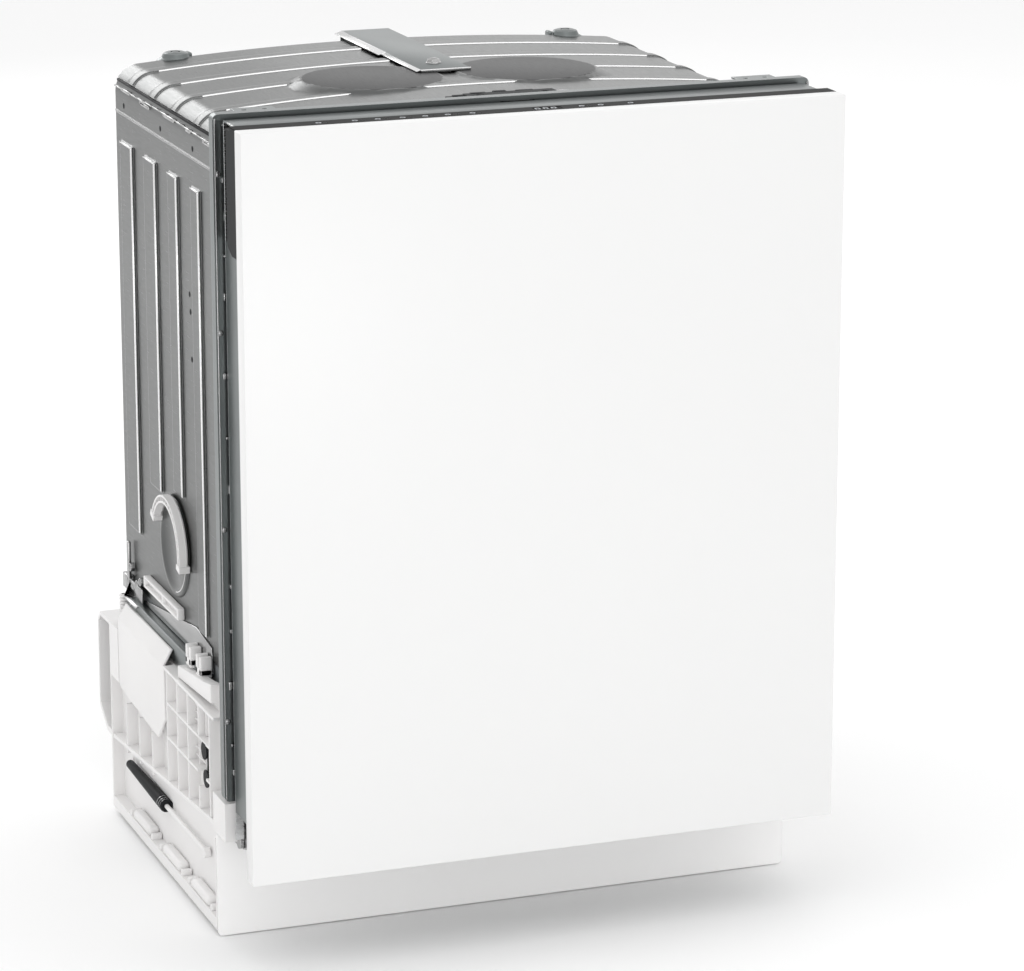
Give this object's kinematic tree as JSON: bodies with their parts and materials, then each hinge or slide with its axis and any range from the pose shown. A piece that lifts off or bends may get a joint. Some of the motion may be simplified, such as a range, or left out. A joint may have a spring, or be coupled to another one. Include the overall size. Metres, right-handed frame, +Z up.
{
  "type": "built-in dishwasher",
  "caption": "Fully integrated built-in dishwasher: steel tub with vaulted ribbed roof on a white plastic base, hinged door with white furniture panel, baskets, tray and spray arms.",
  "frame": {"origin": "floor level, in the middle of the outer box", "axes": "+Z up, the door faces -Y, +X to the right of a person looking at the door"},
  "size_m": [0.598, 0.575, 0.816],
  "materials": {
    "tub_steel": "satin zinc coated sheet steel",
    "frame_steel": "satin zinc coated sheet steel",
    "bright_steel": "bright bent sheet steel",
    "stainless": "brushed stainless steel",
    "basket_coating": "grey plastic coated steel wire",
    "white_plastic": "white moulded plastic, fine grain",
    "grey_plastic": "light grey moulded plastic",
    "black_plastic": "black moulded plastic",
    "black_gloss": "polished black",
    "key_white": "printed pale marks",
    "seal_rubber": "soft rubber",
    "panel_lacquer": "white lacquer on fibreboard"
  },
  "bodies": {
    "cabinet": {"tub_wrapper": "tub_steel", "tub_back": "tub_steel", "base_tub": "grey_plastic", "base_tray": "white_plastic", "tray_sides": "white_plastic", "side_covers": "white_plastic", "plinth": "white_plastic", "front_frame": "frame_steel", "door_seal": "seal_rubber", "roof_strap": "bright_steel", "rear_spacers": "bright_steel", "worktop_brackets": "bright_steel", "latch_plate": "bright_steel", "latch_body": "black_plastic", "vent_ring": "tub_steel", "vent_fittings": "white_plastic", "side_ledges": "frame_steel", "hinge_brackets": "bright_steel", "door_springs": "black_plastic", "rope_pulleys": "black_plastic", "sump": "black_plastic", "filter_plate": "bright_steel", "circulation_pump": "black_plastic", "drain_pump": "black_plastic", "softener": "white_plastic", "inlet_valve": "white_plastic", "drain_spigot": "black_plastic", "power_inlet": "black_plastic", "supply_pipe": "bright_steel", "ceiling_sprayer": "grey_plastic", "basket_rails": "bright_steel", "fasteners": "bright_steel"},
    "door": {"furniture_panel": "panel_lacquer", "door_outer": "frame_steel", "door_liner": "stainless", "console": "black_plastic", "touch_strip": "black_gloss", "touch_keys": "key_white", "hinge_arms": "bright_steel", "bottom_seal": "seal_rubber", "latch_hook": "bright_steel", "dispenser_body": "grey_plastic"},
    "dispenser_lid": {"dispenser_lid": "grey_plastic"},
    "rinse_cap": {"rinse_cap": "grey_plastic"},
    "pull_rods": {"pull_rods": "white_plastic"},
    "lower_basket": {"lower_basket": "basket_coating", "wheel_carriers": "white_plastic"},
    "front_wheels": {"front_wheels": "white_plastic"},
    "rear_wheels": {"rear_wheels": "white_plastic"},
    "rail_mids": {"rail_mids": "bright_steel"},
    "upper_basket": {"upper_basket": "basket_coating"},
    "upper_spray_arm": {"upper_spray_arm": "grey_plastic"},
    "cutlery_tray": {"cutlery_tray": "basket_coating"},
    "lower_spray_arm": {"lower_spray_arm": "grey_plastic"},
    "filter_cylinder": {"filter_cylinder": "grey_plastic"},
    "salt_cap": {"salt_cap": "white_plastic"},
    "foot_front_left": {"foot_front_left": "black_plastic"},
    "foot_front_right": {"foot_front_right": "black_plastic"},
    "foot_rear_left": {"foot_rear_left": "black_plastic"},
    "foot_rear_right": {"foot_rear_right": "black_plastic"}
  },
  "joints": [
    {"name": "door_hinge", "type": "hinge", "parent": "cabinet", "child": "door", "pos_m": [0, -0.1925, 0.106], "axis": [1, 0, 0], "range_deg": [0, 90]},
    {"name": "dispenser_lid_slide", "type": "slide", "parent": "door", "child": "dispenser_lid", "axis": [0, 0, 1], "range_m": [0, 0.06]},
    {"name": "rinse_cap_turn", "type": "hinge", "parent": "door", "child": "rinse_cap", "pos_m": [0.048, -0.19, 0.44], "axis": [0, 1, 0], "range_deg": [0, 90]},
    {"name": "pull_rod_slide", "type": "slide", "parent": "cabinet", "child": "pull_rods", "axis": [0, -1, 0], "range_m": [0, 0.045]},
    {"name": "lower_basket_slide", "type": "slide", "parent": "cabinet", "child": "lower_basket", "axis": [0, -1, 0], "range_m": [0, 0.48]},
    {"name": "front_wheels_roll", "type": "hinge", "parent": "lower_basket", "child": "front_wheels", "pos_m": [0, -0.045, 0.1183], "axis": [1, 0, 0], "range_deg": [0, 460]},
    {"name": "rear_wheels_roll", "type": "hinge", "parent": "lower_basket", "child": "rear_wheels", "pos_m": [0, 0.15, 0.1183], "axis": [1, 0, 0], "range_deg": [0, 460]},
    {"name": "rail_mids_slide", "type": "slide", "parent": "cabinet", "child": "rail_mids", "axis": [0, -1, 0], "range_m": [0, 0.24]},
    {"name": "upper_basket_slide", "type": "slide", "parent": "cabinet", "child": "upper_basket", "axis": [0, -1, 0], "range_m": [0, 0.48]},
    {"name": "upper_spray_spin", "type": "hinge", "parent": "upper_basket", "child": "upper_spray_arm", "pos_m": [0, 0.016, 0.436], "axis": [0, 0, 1], "continuous": true},
    {"name": "cutlery_tray_slide", "type": "slide", "parent": "cabinet", "child": "cutlery_tray", "axis": [0, -1, 0], "range_m": [0, 0.3]},
    {"name": "lower_spray_spin", "type": "hinge", "parent": "cabinet", "child": "lower_spray_arm", "pos_m": [0, 0.016, 0.117], "axis": [0, 0, 1], "continuous": true},
    {"name": "filter_turn", "type": "hinge", "parent": "cabinet", "child": "filter_cylinder", "pos_m": [0.09, -0.008, 0.09], "axis": [0, 0, 1], "range_deg": [0, 90]},
    {"name": "salt_cap_turn", "type": "hinge", "parent": "cabinet", "child": "salt_cap", "pos_m": [-0.15, -0.06, 0.09], "axis": [0, 0, 1], "range_deg": [0, 360]},
    {"name": "foot_front_left_screw", "type": "slide", "parent": "cabinet", "child": "foot_front_left", "axis": [0, 0, -1], "range_m": [0, 0.06]},
    {"name": "foot_front_right_screw", "type": "slide", "parent": "cabinet", "child": "foot_front_right", "axis": [0, 0, -1], "range_m": [0, 0.06]},
    {"name": "foot_rear_left_screw", "type": "slide", "parent": "cabinet", "child": "foot_rear_left", "axis": [0, 0, -1], "range_m": [0, 0.06]},
    {"name": "foot_rear_right_screw", "type": "slide", "parent": "cabinet", "child": "foot_rear_right", "axis": [0, 0, -1], "range_m": [0, 0.06]}
  ],
  "couplings": [
    {"joint": "pull_rod_slide", "follows": "door_hinge", "m_per_rad": 0.0286},
    {"joint": "lower_basket_slide", "follows": "door_hinge", "m_per_rad": 0.0637},
    {"joint": "front_wheels_roll", "follows": "door_hinge", "ratio": 4.2467},
    {"joint": "rear_wheels_roll", "follows": "door_hinge", "ratio": 4.2467},
    {"joint": "rail_mids_slide", "follows": "door_hinge", "m_per_rad": 0.1525},
    {"joint": "upper_basket_slide", "follows": "door_hinge", "m_per_rad": 0.305},
    {"joint": "cutlery_tray_slide", "follows": "door_hinge", "m_per_rad": 0.1905}
  ]
}
